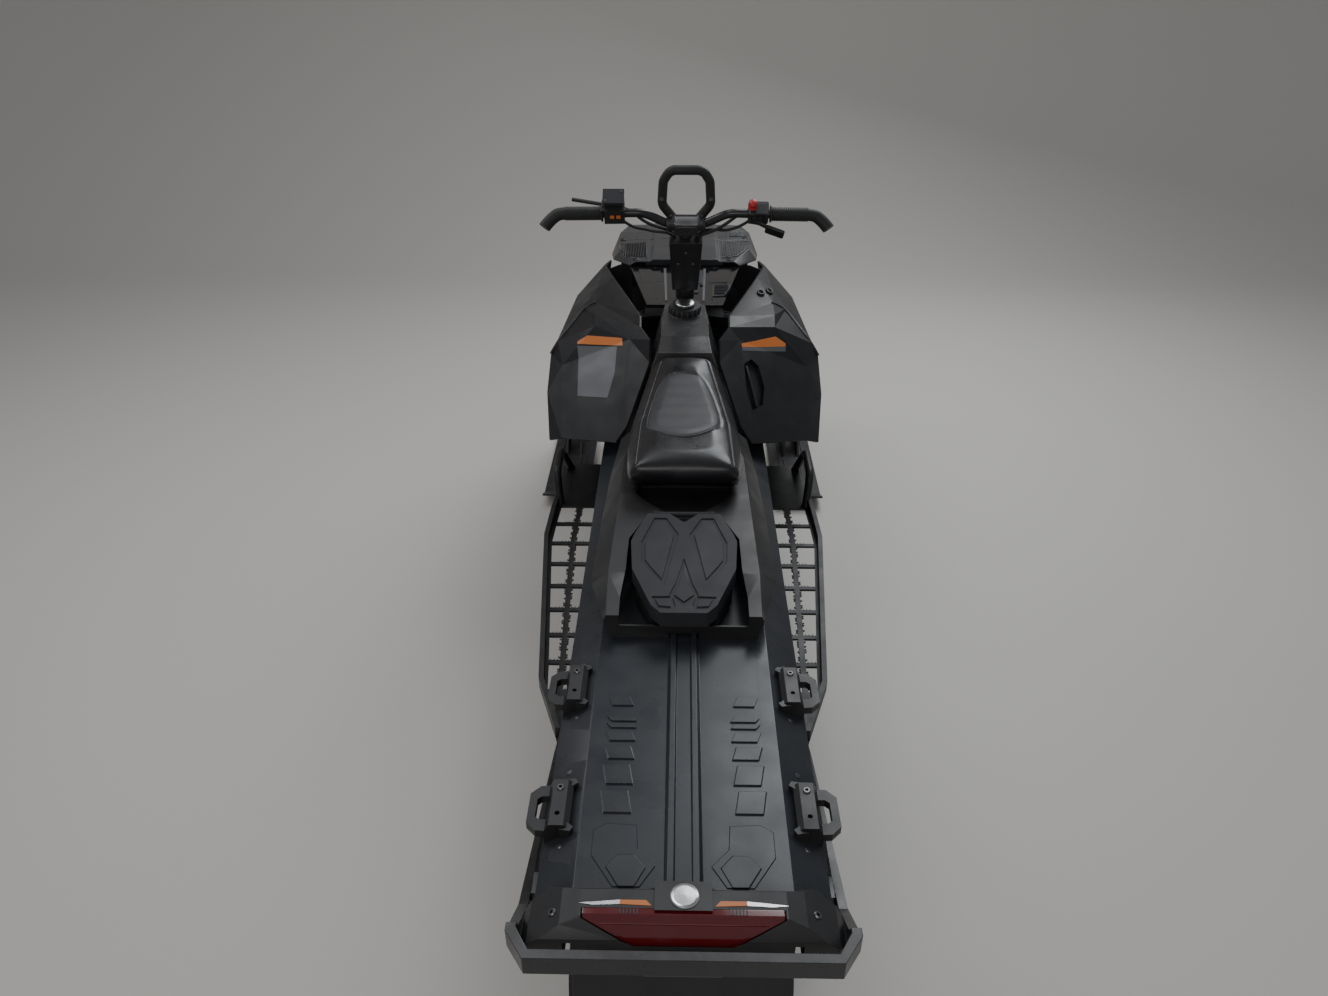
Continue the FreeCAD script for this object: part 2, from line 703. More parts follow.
def make_rear_cover():
    """A shell over the tunnel: its deck has a dip behind the seat and a bay that is open behind, between two prongs."""
    wall, foot = s.cover_wall, s.tunnel_top
    shell = cover_block(0).cut(cover_block(wall))
    bay = [(0, -568), (s.bay_half - 26, -568), (s.bay_half + 6, -636), (s.bay_half + 8, -730), (s.bay_half + 16, -820),
           (s.bay_half + 16, -890), (0, -890)]
    shell = shell.cut(plan_plate(closed_plan(bay), foot + 30, s.seat_base + 60))
    deck = deck_height(478)
    dip = plan_plate(closed_plan(list(DIP)), deck - 20, deck + 5)
    narrow = [(max(0, x - 4) if x else 0, y) for x, y in DIP]
    narrow = [(x, y - 4 if y > -450 else y + (6 if x < 40 else 4)) for x, y in narrow]
    hollow = plan_plate(closed_plan(narrow), deck - 15, deck + 6)
    tray = dip.cut(hollow).common(cover_block(0))
    shell = shell.cut(dip).fuse(tray)
    ridge = s.ridge_half + s.gap
    shell = shell.cut(box(-ridge, ridge, -s.cover_rear - 5, 0, foot - 1, foot + s.ridge_rise + s.gap))
    # Lugs and pin of the lid's hinge, on the deck in front of the bay.
    y, z = -s.lid_pin_y, deck_height(s.lid_pin_y) + s.lid_pin_rise
    deck = deck_height(s.lid_pin_y) - wall / 2
    lug = side_plate([(y - 4, deck), (y - 7, z), (y - 4, z + 6), (y + 5, z + 6), (y + 9, deck)], 58, 68)
    pin = rod(vec(-60, y, z), vec(60, y, z), s.lid_pin_radius)
    return feature("rear_cover", fused([shell, lug, mirrored(lug), pin]))


def make_storage_bin():
    """The tray under the lid: floor and walls, open at the top."""
    floor = s.tunnel_top + s.ridge_rise + s.gap
    body = new_body("storage_bin")

    def tray(grow):
        half = s.bay_half + grow
        return closed_plan([(0, -574 + grow), (half - 26, -574 + grow), (half, -640), (half - 6, -770), (half - 40, -860 - grow), (0, -860 - grow)])

    pad(body, "XY_Plane", [tray(-8)], floor, 80)
    pocket(body, "XY_Plane", [tray(-12)], floor + 80, 77)
    # The rim follows the lid's underside.
    drop = s.lid_height / 2 + s.seam
    rim = [(-back, deck_height(back) - drop) for back in (560, 745, 890)]
    rim += [(-890, s.seat_base + 60), (-560, s.seat_base + 60)]
    pocket(body, "YZ_Plane", [rim], s.bay_half + 20, s.bay_half * 2 + 40)
    return body


# Grooves in the lid's top, right half: each an outline in plan.
LID_GROOVES = (
    ((39, -590), (66, -590), (93, -672), (90, -735), (76, -760), (42, -813), (12, -645)),
    ((24, -836), (37, -837), (66, -838), (54, -872), (19, -874), (17, -862)),
    ((0, -722), (18, -800), (30, -833), (0, -866)),
)
LID_ISLANDS = (
    ((42, -602), (62, -602), (84, -672), (82, -728), (72, -746), (46, -786), (22, -645)),
    ((30, -844), (58, -845), (50, -864), (26, -866)),
    ((0, -745), (10, -800), (20, -832), (0, -852)),
)


def make_storage_lid():
    """The lid follows the slope of the deck; its underside is hollow and its top has sunken fields."""
    slab = plan_plate(closed_plan(lid_outline(0)), s.tunnel_top, s.seat_base + 80)

    def band(under, over, width):
        rows = [560, 745, 890]
        points = [(-back, deck_height(back) + over) for back in rows]
        points += [(-back, deck_height(back) - under) for back in reversed(rows)]
        return side_plate(points, -width, width)

    under, over = s.lid_height * 0.5, s.lid_height * 0.5 + 4
    lid = slab.common(band(under, over, 300))
    hollow = plan_plate(closed_plan(lid_outline(-s.lid_wall)), s.tunnel_top, s.seat_base + 80)
    lid = lid.cut(hollow.common(band(under + 1, over - s.lid_wall - s.lid_groove, 300)))
    sunk = band(-(over - s.lid_groove), over + 5, 300)
    for groove, island in zip(LID_GROOVES, LID_ISLANDS):
        field = plan_plate(groove, s.tunnel_top, s.seat_base + 80).cut(plan_plate(island, s.tunnel_top, s.seat_base + 80))
        field = field.common(sunk)
        lid = lid.cut(field).cut(mirrored(field))
    y, z = -s.lid_pin_y, deck_height(s.lid_pin_y) + s.lid_pin_rise
    barrel = rod(vec(-57, y, z), vec(57, y, z), s.lid_pin_radius + 3)
    leaf = box(36, 56, y, -574 - s.lid_wall, z - 3, z + 3)
    bore = rod(vec(-60, y, z), vec(60, y, z), s.lid_pin_radius + s.pin_play)
    return feature("storage_lid", fused([lid, barrel, leaf, mirrored(leaf)]).cut(bore))


SEAT_STATIONS = (
    # place ahead of the origin, then (half width, height) at the underside, the sides and the top
    (-508, ((130, 0), (140, 44), (124, 92))),
    (-300, ((138, 0), (146, 46), (116, 112))),
    (-110, ((110, 0), (124, 60), (88, 133))),
    (10, ((88, 70), (102, 100), (72, 151))),
)


def make_seat():
    sections = [
        half_section(y, [(x, s.seat_base + z) for x, z in rows]) for y, rows in SEAT_STATIONS
    ]
    # The seat's rear overhangs the deck.
    y, z = SEAT_STATIONS[0][0], s.seat_base
    under = side_plate([(y - 1, z - 1), (y - 1, z + 52), (y + 10, z + 44), (y + 46, z - 1)], -200, 200)
    return feature("seat", loft(sections).cut(under))


TANK_STATIONS = (
    # place ahead of the origin, then (half width, height over the tunnel) at the flank and the crown
    (-110, ((146, 66), (118, 110))),
    (10, ((116, 130), (72, 257))),
    (95, ((100, 140), (66, 270))),
    (180, ((98, 180), (66, 274))),
    (300, ((84, 200), (58, 288))),
)


def make_tank():
    foot = s.tunnel_top
    sections = [
        half_section(y, [(rows[0][0] + 6, foot)] + [(x, foot + z) for x, z in rows])
        for y, rows in TANK_STATIONS
    ]
    ridge = s.ridge_half + s.gap
    groove = box(-ridge, ridge, -200, 400, foot - 1, foot + s.ridge_rise + s.gap)
    return feature("fuel_tank", loft(sections).cut(groove).cut(seat.Shape))


def make_cap():
    """The cap stands square on the sloping crown of the tank."""
    (y0, rows0), (y1, rows1) = TANK_STATIONS[-2:]
    z0, z1 = s.tunnel_top + rows0[-1][1], s.tunnel_top + rows1[-1][1]
    slope = vec(0, y1 - y0, z1 - z0)
    slope.normalize()
    seat_point = vec(0, y0, z0) + slope * 72
    up = vec(0, -slope.z, slope.y)
    cap = Part.makeCylinder(s.cap_radius, 24, seat_point, up)
    rim = Part.makeCylinder(s.cap_radius - 14, 6, seat_point + up * 24, up)
    return feature("fuel_cap", cap.fuse(rim))


# Bodywork


def post_point(along):
    """A point of the steering axis, at a distance down from the handlebar clamp."""
    lean = math.radians(s.rake)
    return vec(0, s.clamp_y + along * math.sin(lean), s.clamp_height - along * math.cos(lean))


def make_console():
    """The plate between tank and hood, with a slot for the steering post."""
    front, rear = s.hood_rear + 12, s.tank_front + s.gap
    low, high = s.tunnel_top + 288, s.hood_crown - s.panel_wall - s.gap - 12
    stations = [
        across(rear, [(0, low), (112, low)]),
        across(front, [(0, high), (s.hood_half - 50, high)]),
    ]
    plate_shape = grid_skin(stations, vec(0, 0, -s.panel_wall))
    start = post_point(140)
    slot = Part.makeCylinder(s.post_radius + 9, 300, start, post_point(400) - start)
    return feature("console", plate_shape.cut(slot))


HOOD_STATIONS = (
    # place and height from the hood's rear edge, crown, half width of the top, half width and drop of the shoulder
    (0, 0, 0, 160, 178, 12),
    (122, 4, 4, 214, 240, 34),
    (310, 6, 6, 226, 258, 76),
    (432, 0, 4, 200, 246, 70),
    (460, -60, 8, 150, 228, 96),
)


def make_hood():
    stations = []
    for back, rise, crown, top, shoulder, drop in HOOD_STATIONS:
        y, z = s.hood_rear + back, s.hood_crown + rise
        rows = [
            (0, z + crown + s.hood_step), (104, z + crown * 0.6 + s.hood_step), (113, z + crown * 0.5),
            (top, z), (shoulder, z - drop),
        ]
        stations.append(across(y, rows))
    return feature("hood", grid_skin(stations, vec(0, -1, -s.panel_wall)))


def nose_shell():
    """The front fairing from the hood's edge down to the belly pan, without its cut-outs."""
    y0 = s.hood_rear + HOOD_STATIONS[-1][0]
    rows = (
        # ahead of the hood's front edge, height, half width of the middle, of the side, sweep back of the side
        (10, s.hood_crown - 66, 140, 224, 4),
        (66, s.hood_crown - 150, 150, 236, 60),
        (110, s.hood_crown - 260, 150, 232, 84),
        (70, s.hood_crown - 420, 140, 214, 70),
    )
    stations = []
    for ahead, z, middle, side, sweep in rows:
        y = y0 + ahead
        stations.append([
            vec(-side, y - sweep, z), vec(-middle, y - 8, z), vec(0, y, z), vec(middle, y - 8, z), vec(side, y - sweep, z)
        ])
    return grid_skin(stations[::-1], vec(0, -s.panel_wall, -1))


def lamp_window():
    """The right headlamp's outline, pushed through the nose."""
    y, z = s.hood_rear + HOOD_STATIONS[-1][0] - 55, s.hood_crown - 160
    outline = [(44, z), (146, z + 4), (146, z - 56), (124, z - 78), (44, z - 92)]
    return plate([vec(px, y, pz) for px, pz in outline], vec(0, 300, 0))


def hinge_heights():
    """Lower ends of the two hinge pins of each side panel."""
    return (568, 656)


def make_nose():
    """Fairing with openings for the lamps and ears with the side panels' hinge pins."""
    window = lamp_window()
    x, y = s.door_pin_x, s.door_pin_y
    passage = fused([bumper_half(16), mirrored(bumper_half(16))])
    shell = nose_shell().cut(window).cut(mirrored(window)).cut(passage).cut(hood.Shape)
    pieces = [shell]
    for z in hinge_heights():
        ear = plan_plate([(x - 9, y - 8), (x + 9, y - 8), (x + 6, y + 56), (x - 9, y + 56)], z - 5, z + 3)
        ear = ear.cut(nose_front(z))
        pin = rod(vec(x, y, z), vec(x, y, z + 26), s.door_pin_radius)
        pieces += [ear, pin, mirrored(ear), mirrored(pin)]
    return feature("nose", fused(pieces))


def nose_front(z):
    """Space in front of the nose's skin near a height, to trim what is carried behind it."""
    y = s.hood_rear + HOOD_STATIONS[-1][0]
    return plan_plate([(260, y + 10), (216, y + 36), (216, y + 200), (400, y + 200), (400, y + 10)], z - 20, z + 20)


def make_headlamps():
    return feature("headlamps", both(nose_shell().common(lamp_window())))


def make_belly_pan():
    """The pan under the engine bay: floor and upturned sides."""
    wall = s.panel_wall
    rows = (
        # place, rise of the floor, its reach outside the frame, half width and height of the rim
        (590, 0, 6, 336, 464),
        (760, 0, 6, 298, 478),
        (1052, 0, 6, 236, 500),
        (1180, 130, 4, 196, 468),
    )
    low = s.frame_floor - s.frame_plate
    stations = [
        across(y, [(0, low + rise), (s.bulkhead_half + out, low + rise), (rim, rim_z)])
        for y, rise, out, rim, rim_z in rows
    ]
    shape = grid_skin(stations, vec(0, -1, -wall))
    # The sides are open round the control arms, the dampers and the tie rod.
    bay = box(s.bulkhead_half + 2, 400, 862, 1076, s.frame_floor - 2, 560)
    passage = fused([bumper_half(16), mirrored(bumper_half(16))])
    return feature("belly_pan", shape.cut(bay).cut(mirrored(bay)).cut(passage))


def panel_corners(side):
    """Named corners of a side panel: its tip beside the hood, the ledge, the rear face and the side."""
    reach, rear = s.body_half, s.hood_rear
    places = {
        "tip": (228, rear - 105, 884),
        "inner_rear": (130, 244, 875),
        "ledge_in": (128, 182, 865),
        "neck": (99, 121, 850),
        "waist": (98, 77, 801),
        "knee_rear": (157, -51, 667),
        "knee_low": (188, -73, 627),
        "ledge_foot": (157, 173, 830),
        "ledge_out": (262, 250, 840),
        "ledge_top": (264, 300, 858),
        "brow": (267, 398, 860),
        "hood_side": (276, rear - 153, 862),
        "ridge": (312, 425, 835),
        "belt": (reach - 32, 291, 775),
        "widest": (reach - 10, 285, 735),
        "edge_top": (reach - 51, 219, 730),
        "edge_low": (reach - 62, 21, 591),
        "rear": (reach - 8, 172, 664),
        "foot": (reach - 24, 46, 572),
        "hood_mid": (270, rear + 115, 856),
        "hood_front": (266, rear + 325, 808),
        "shoulder": (reach - 58, 639, 796),
        "side_mid": (reach - 44, 700, 640),
        "low_mid": (reach - 60, 560, 470),
        "front_mid": (286, s.door_pin_y - 38, 690),
        "front_low": (236, s.door_pin_y - 18, 520),
    }
    return {name: vec(x * side, y, z) for name, (x, y, z) in places.items()}


PANEL_FACETS = (
    ("tip", "inner_rear", "brow"),
    ("inner_rear", "ledge_in", "ledge_top", "brow"),
    ("tip", "brow", "hood_side"),
    ("ledge_in", "ledge_foot", "ledge_out", "ledge_top"),
    ("brow", "ledge_top", "ridge"),
    ("ledge_top", "ledge_out", "ridge"),
    ("hood_side", "brow", "ridge"),
    ("ledge_out", "belt", "ridge"),
    ("ledge_out", "edge_top", "belt"),
    ("belt", "edge_top", "widest"),
    ("ledge_out", "ledge_foot", "edge_top"),
    ("ledge_foot", "knee_low", "edge_top"),
    ("knee_low", "edge_low", "edge_top"),
    ("ledge_in", "neck", "ledge_foot"),
    ("neck", "waist", "ledge_foot"),
    ("waist", "knee_rear", "ledge_foot"),
    ("knee_rear", "knee_low", "ledge_foot"),
    ("edge_top", "rear", "widest"),
    ("edge_top", "edge_low", "rear"),
    ("edge_low", "foot", "rear"),
    ("tip", "hood_side", "hood_mid"),
    ("hood_side", "ridge", "shoulder"),
    ("hood_side", "shoulder", "hood_mid"),
    ("ridge", "belt", "shoulder"),
    ("belt", "widest", "shoulder"),
    ("widest", "side_mid", "shoulder"),
    ("widest", "rear", "low_mid"),
    ("widest", "low_mid", "side_mid"),
    ("rear", "foot", "low_mid"),
    ("shoulder", "side_mid", "front_mid"),
    ("hood_front", "shoulder", "front_mid"),
    ("hood_mid", "shoulder", "hood_front"),
    ("side_mid", "low_mid", "front_low"),
    ("side_mid", "front_low", "front_mid"),
)

# The grip's recess in the rear face: corners as (x, z) on the plane of ledge_foot, knee_low and edge_top.
PULL_RECESS = ((168, 781), (190, 785), (211, 766), (226, 722), (221, 690), (190, 688), (174, 722))


def on_plane(corners, x, z):
    """The point at (x, z) on the plane of the panel's rear face."""
    a, b, c = (corners[name] for name in ("ledge_foot", "knee_low", "edge_top"))
    normal = (b - a).cross(c - a)
    return vec(x, a.y - (normal.x * (x - a.x) + normal.z * (z - a.z)) / normal.y, z)


def pull_recess():
    """The right panel's tray with a grab bar in it, and the window that it fills."""
    corners = panel_corners(1)
    a, b, c = (corners[name] for name in ("ledge_foot", "knee_low", "edge_top"))
    out = (b - a).cross(c - a)
    out.normalize()
    rim = [on_plane(corners, x, z) for x, z in PULL_RECESS]
    middle = sum(rim, vec(0, 0, 0)) * (1 / len(rim))
    outer = [p + (p - middle) * 0.1 for p in rim]
    tray = plate([p - out * 20 for p in outer], out * 18).cut(plate([p - out * 16 for p in rim], out * 40))
    bar = rod(on_plane(corners, 178, 776) - out * 8, on_plane(corners, 208, 690) - out * 8, 5)
    bar = bar.common(plate([p - out * 18 for p in outer], out * 30))
    window = plate([p - out * 16 for p in rim], out * 40)
    return tray.fuse(bar), window


def make_side_panel(label, side):
    corners = panel_corners(side)
    facets = [f if side > 0 else f[::-1] for f in PANEL_FACETS]
    inward = vec(-s.panel_wall * side, 2, -3)
    pieces = [skin(corners, facets, inward)]
    if side > 0:
        tray, window = pull_recess()
        pieces = [pieces[0].cut(window), tray]
    # Hinge barrels with short arms to the panel's front edge.
    x, y, holes = s.door_pin_x * side, s.door_pin_y, []
    low, high = corners["front_low"], corners["front_mid"]
    for z in hinge_heights():
        barrel = rod(vec(x, y, z + 3 + s.gap), vec(x, y, z + 24), s.door_pin_radius + 4)
        middle = z + 14
        edge = low + (high - low) * ((middle - low.z) / (high.z - low.z)) + inward * 0.5
        pieces += [barrel, rod(vec(x, y, middle), edge - vec(0, 6, 0), 4)]
        holes.append(rod(vec(x, y, z), vec(x, y, z + 30), s.door_pin_radius + s.pin_play))
    shape = fused(pieces)
    for hole in holes:
        shape = shape.cut(hole)
    return feature(label, shape)


# Front frame, engine and steering frame


# Upper eye of the right front damper, and its lower eye on the control arm.
SHOCK_HIGH = (168, 1046, 574)
SHOCK_LOW = (320, 1036, 251)


def make_bulkhead():
    """The plate frame in front of the tunnel: floor, side plates and cross plates."""
    body = new_body("bulkhead")
    half, wall = s.bulkhead_half, s.frame_plate
    rear, front = s.tunnel_front, 1110
    floor, top = s.frame_floor, s.bulkhead_top
    side = [
        (rear, floor - wall), (1050, floor - wall), (front, 300), (front, 430), (1074, top),
        (860, top), (860, 400), (rear, 400),
    ]
    for start in (half - wall, -half):
        pad(body, "YZ_Plane", [side], start, wall)
    wide = [(-half, rear), (half, rear), (half, 1050), (-half, 1050)]
    pad(body, "XY_Plane", [wide], floor - wall, wall)
    cross = [(-half, floor), (half, floor), (half, 400), (-half, 400)]
    pad(body, "XZ_Plane", [cross], -rear - wall, wall)
    upper = [(-half, 864), (half, 864), (half, 1070), (-half, 1070)]
    pad(body, "XY_Plane", [upper], top - wall, wall)
    bay = [(-half, 302), (half, 302), (half, 428), (-half, 428)]
    pad(body, "XZ_Plane", [bay], -front, wall)
    # Ears for the dampers' upper eyes.
    for ear_front in (SHOCK_HIGH[1] + 12 + wall, SHOCK_HIGH[1] - 12):
        ears = []
        for side in (-1, 1):
            ears.append([
                (side * half, SHOCK_HIGH[2] - 24), (side * (SHOCK_HIGH[0] + 8), SHOCK_HIGH[2] - 14),
                (side * (SHOCK_HIGH[0] + 14), SHOCK_HIGH[2] + 14), (side * half, SHOCK_HIGH[2] + 20),
            ])
        pad(body, "XZ_Plane", ears, -ear_front, wall)
    # Slots in the side plates for the tie rod.
    end = tie_rod_end()
    window = [(end.y + dy, end.z + dz) for dy, dz in ((-20, -20), (20, -20), (20, 20), (-20, 20))]
    pocket(body, "YZ_Plane", [window], half + 2, half * 2 + 4)
    # The front plate of the tunnel closes the gap down to the frame.
    shut = [(-s.tunnel_half, 400), (s.tunnel_half, 400), (s.tunnel_half, 560), (-s.tunnel_half, 560)]
    pad(body, "XZ_Plane", [shut], -rear - wall, wall)
    return body


def bumper_half(radius):
    """The right arm of the front bumper, from the frame's front plate to the cross bar."""
    y = s.nose_reach - 20
    points = [
        vec(s.bulkhead_half - 20, 1110, 360), vec(s.bulkhead_half - 20, 1150, 360),
        vec(s.bulkhead_half - 12, y + 14, 352), vec(90, y + 30, 400),
        vec(60, y + 40, 470),
    ]
    return bent_tube(points, radius, 40)


def make_front_bumper():
    y = s.nose_reach - 20
    right = bumper_half(11)
    cross = rod(vec(-60, y + 40, 470), vec(60, y + 40, 470), 11)
    ball = Part.makeSphere(11, vec(60, y + 40, 470))
    shape = right.multiFuse([mirrored(right), cross, ball, mirrored(ball)])
    return feature("front_bumper", shape)


def make_engine():
    body = new_body("engine")
    half = s.bulkhead_half - s.frame_plate
    side = [(600, 206), (850, 206), (850, 420), (800, 598), (620, 598), (600, 560)]
    pad(body, "YZ_Plane", [[(y, z) for y, z in side]], -half, half * 2)
    return body


def make_steering_frame():
    """The tube pyramid that carries the post's upper bush, from tunnel and bulkhead."""
    low, high = post_point(442), post_point(382)
    axis = high - low
    axis.normalize()
    bush = Part.makeCylinder(s.post_radius + 12, 60, low, axis)
    bore = Part.makeCylinder(s.post_radius + s.post_play, 80, low - axis * 10, axis)
    hub = low + axis * 30
    below = box(-300, 300, 0, 1200, s.tunnel_top - 60, s.tunnel_top)
    rear = rod(vec(s.tunnel_flat - 18, 540, s.tunnel_top), hub + vec(14, 0, 0), 10)
    front = rod(vec(s.bulkhead_half - 26, 910, s.bulkhead_top), hub + vec(14, 6, 0), 10)
    shape = bush.multiFuse([rear, mirrored(rear), front, mirrored(front)]).cut(bore).cut(below)
    return feature("steering_frame", shape)


def make_steering_post():
    post = doc.addObject("Part::Cylinder", "steering_post")
    bind(post, "Radius", s.post_radius)
    bind(post, "Height", s.post_length)
    start = post_point(s.post_length)
    post.Placement = FreeCAD.Placement(start, FreeCAD.Rotation(Z_AXIS, post_point(0) - start))
    return keep(post, "steering_post")


def bar_points():
    """Right half of the handlebar: clamp, foot of the rise, end of the rise, grip, hook."""
    lean = math.radians(s.rake)
    up, back = vec(0, -math.sin(lean), math.cos(lean)), vec(0, -math.cos(lean), -math.sin(lean))
    clamp = post_point(0) + up * (s.bar_radius + 8)
    return [
        clamp, clamp + vec(46, 0, 0), clamp + vec(108, 0, 0) + up * s.bar_rise,
        clamp + vec(s.bar_half - 50, 0, 0) + up * s.bar_rise + back * 4,
        clamp + vec(s.bar_half - 10, 0, 0) + up * (s.bar_rise - 15) + back * 34,
    ]


def make_handlebar():
    right = bar_points()
    left = [vec(-p.x, p.y, p.z) for p in right]
    bar = bent_tube(left[:0:-1] + right[1:], s.bar_radius, 60)
    lean = math.radians(s.rake)
    up = vec(0, -math.sin(lean), math.cos(lean))
    back = vec(0, -math.cos(lean), -math.sin(lean))
    start = post_point(0)
    block = Part.makeBox(64, 44, 30)
    block.Placement = FreeCAD.Placement(
        start - X_AXIS * 32 + back * 22 , FreeCAD.Rotation(X_AXIS, -back, up)
    )
    return feature("handlebar", bar.fuse(block))


def make_grips():
    points = bar_points()
    run = points[3] - points[2]
    run.normalize()
    start = points[3] - run * 108
    grip = Part.makeCylinder(s.grip_radius, 96, start, run)
    hole = Part.makeCylinder(s.bar_radius, 108, start - run * 6, run)
    return feature("grips", both(grip.cut(hole)).cut(handlebar.Shape))


def make_column_cover():
    """The padded box round the post under the clamp, part of what turns."""
    lean = math.radians(s.rake)
    back = vec(0, -math.cos(lean), -math.sin(lean))
    rings = []
    for along, half, deep in ((24, 44, 30), (120, 41, 28), (250, 36, 25)):
        centre = post_point(along)
        rows = ((-half, deep), (half, deep), (half, -deep * 0.4), (half * 0.7, -deep), (-half * 0.7, -deep), (-half, -deep * 0.4))
        rings.append(polygon([centre + vec(x, 0, 0) + back * d for x, d in rows]))
    bore = rod(post_point(0), post_point(s.post_length), s.post_radius)
    return feature("column_cover", loft(rings).cut(bore).cut(handlebar.Shape))


def make_grab_loop():
    clamp = bar_points()[0]
    lean = math.radians(s.rake) * 0.4
    up = vec(0, -math.sin(lean), math.cos(lean))
    half, rise = s.loop_half, s.loop_rise
    foot = clamp + vec(0, 14, 8)
    points = [
        foot + vec(30, 0, 0), foot + vec(half, 0, 0) + up * 44, foot + vec(half - 4, 0, 0) + up * (rise - 30),
        foot + vec(half - 22, 0, 0) + up * rise, foot + vec(22 - half, 0, 0) + up * rise,
        foot + vec(4 - half, 0, 0) + up * (rise - 30), foot + vec(-half, 0, 0) + up * 44, foot + vec(-30, 0, 0),
    ]
    loop = bent_tube(points, s.loop_radius, 30)
    return feature("grab_loop", loop.cut(handlebar.Shape))


def make_control(label, side, wide, tall, thumb):
    """A control block round the bar, inboard of a grip, with a finger lever or a thumb lever."""
    points = bar_points()
    run = points[3] - points[2]
    run.normalize()
    middle = points[2] + run * 75
    lean = math.radians(s.rake)
    up = vec(0, -math.sin(lean), math.cos(lean))
    back = vec(0, -math.cos(lean), -math.sin(lean))
    block = Part.makeBox(wide, 44, tall)
    block.Placement = FreeCAD.Placement(
        middle - run * wide / 2 + back * 20 - up * 18, FreeCAD.Rotation(run, -back, up)
    )
    lever_start = middle + run * 16 - back * 27 - up * 4
    lever = rod(lever_start, lever_start + run * 96 - back * 20, 5)
    if thumb:
        hinge = middle + back * 20 - up * 14
        reach = hinge + run * 62 + back * 22 - up * 20
        lever = plate([hinge - run * 8, hinge + run * 8, reach + run * 6, reach - run * 6], up * 9)
    shape = block.fuse(lever).cut(handlebar.Shape)
    return feature(label, shape if side > 0 else mirrored(shape))


# Front suspension and skis


def kingpin(along):
    """A point of the right kingpin axis, at a height above the ski bolt's level."""
    lean = math.tan(math.radians(s.caster))
    return vec(s.kingpin_x, s.ski_bolt_y - along * lean, s.ski_bolt_height + along)


LOWER_BALL, UPPER_BALL = 100, 245


def wishbone(ball, pivots, height, radius):
    """Two tubes from the frame's pivots to a ball joint housing."""
    tubes = []
    for y in pivots:
        tubes.append(rod(vec(s.bulkhead_half, y, height), ball + vec(-s.joint_radius * 0.6, 0, 0), radius))
    housing = Part.makeCylinder(s.joint_radius, 26, ball - vec(0, 0, 13))
    shape = tubes[0].multiFuse(tubes[1:] + [housing])
    bore = Part.makeCylinder(s.leg_radius - 4 + 0.5, 80, ball - vec(0, 0, 40))
    return shape, bore


def make_control_arms():
    made = []
    for height, ball_at, pivots in (
        (226, LOWER_BALL, (890, 1060)),
        (392, UPPER_BALL, (872, 985)),
    ):
        ball = kingpin(ball_at)
        shape, _ = wishbone(ball, pivots, height, s.arm_radius)
        gap = Part.makeCylinder(s.leg_radius - 3, 120, kingpin(ball_at - 60), kingpin(1) - kingpin(0))
        frame = box(0, s.bulkhead_half, 800, 1200, 100, 500)
        arm = shape.cut(gap).cut(frame)
        made += [arm, mirrored(arm)]
    return feature("control_arms", Part.makeCompound(made))


def shock_shape(low, high, radius):
    """A damper from eye to eye: body, rod and two eyes."""
    run = high - low
    run.normalize()
    length = (high - low).Length
    body = Part.makeCylinder(radius, length * 0.5, high - run * (length * 0.5 + 26), run)
    stem = Part.makeCylinder(7, length - 20, low + run * 10, run)
    eyes = [Part.makeCylinder(14, 24, p - vec(0, 12, 0), Y_AXIS) for p in (low, high)]
    return body.multiFuse([stem, *eyes])


def spring_shape(low, high, start, end, coils, inner, outer):
    """The envelope of a coil spring round a damper: a zigzag profile turned about its axis."""
    run = high - low
    length = run.Length
    run.normalize()
    count = coils * 2
    step = length * (end - start) / count
    rows = [(outer if i % 2 else outer - 5, length * start + step * i) for i in range(count + 1)]
    points = [vec(inner, 0, rows[0][1])] + [vec(r, 0, z) for r, z in rows] + [vec(inner, 0, rows[-1][1])]
    ring = Part.Face(polygon(points)).revolve(vec(0, 0, 0), Z_AXIS, 360)
    ring.Placement = FreeCAD.Placement(low, FreeCAD.Rotation(Z_AXIS, run))
    return ring


def make_spindle(label, side):
    """Leg with ski fork at its foot and the steering arm behind."""
    axis = kingpin(1) - kingpin(0)
    axis.normalize()
    leg = Part.makeCylinder(s.leg_radius - 4, kingpin(UPPER_BALL + 30).distanceToPoint(kingpin(36)), kingpin(36), axis)
    ski = vec(s.ski_x, s.ski_bolt_y, s.ski_bolt_height)
    blade = side_plate(
        [(s.ski_bolt_y - 24, s.ski_bolt_height - 20), (s.ski_bolt_y + 24, s.ski_bolt_height - 20),
         (s.ski_bolt_y + 10, s.ski_bolt_height + 66), (s.ski_bolt_y - 46, s.ski_bolt_height + 66)],
        s.ski_x - 18, s.ski_x + 18,
    )
    foot = box(s.kingpin_x - 14, s.ski_x + 18, s.ski_bolt_y - 42, s.ski_bolt_y + 2, s.ski_bolt_height + 30, s.ski_bolt_height + 66)
    back = vec(0, -axis.z, axis.y)
    arm_at = kingpin(176)
    arm_end = arm_at + back * s.steer_arm
    arm = plate(
        [arm_at + X_AXIS * 15 - axis * 6, arm_end + X_AXIS * 11 - axis * 6, arm_end - X_AXIS * 11 - axis * 6, arm_at - X_AXIS * 15 - axis * 6],
        axis * 12,
    )
    bolt = rod(vec(s.ski_x - 22, ski.y, ski.z), vec(s.ski_x + 22, ski.y, ski.z), 8)
    shape = leg.multiFuse([blade, foot, arm, bolt])
    return feature(label, shape if side > 0 else mirrored(shape))


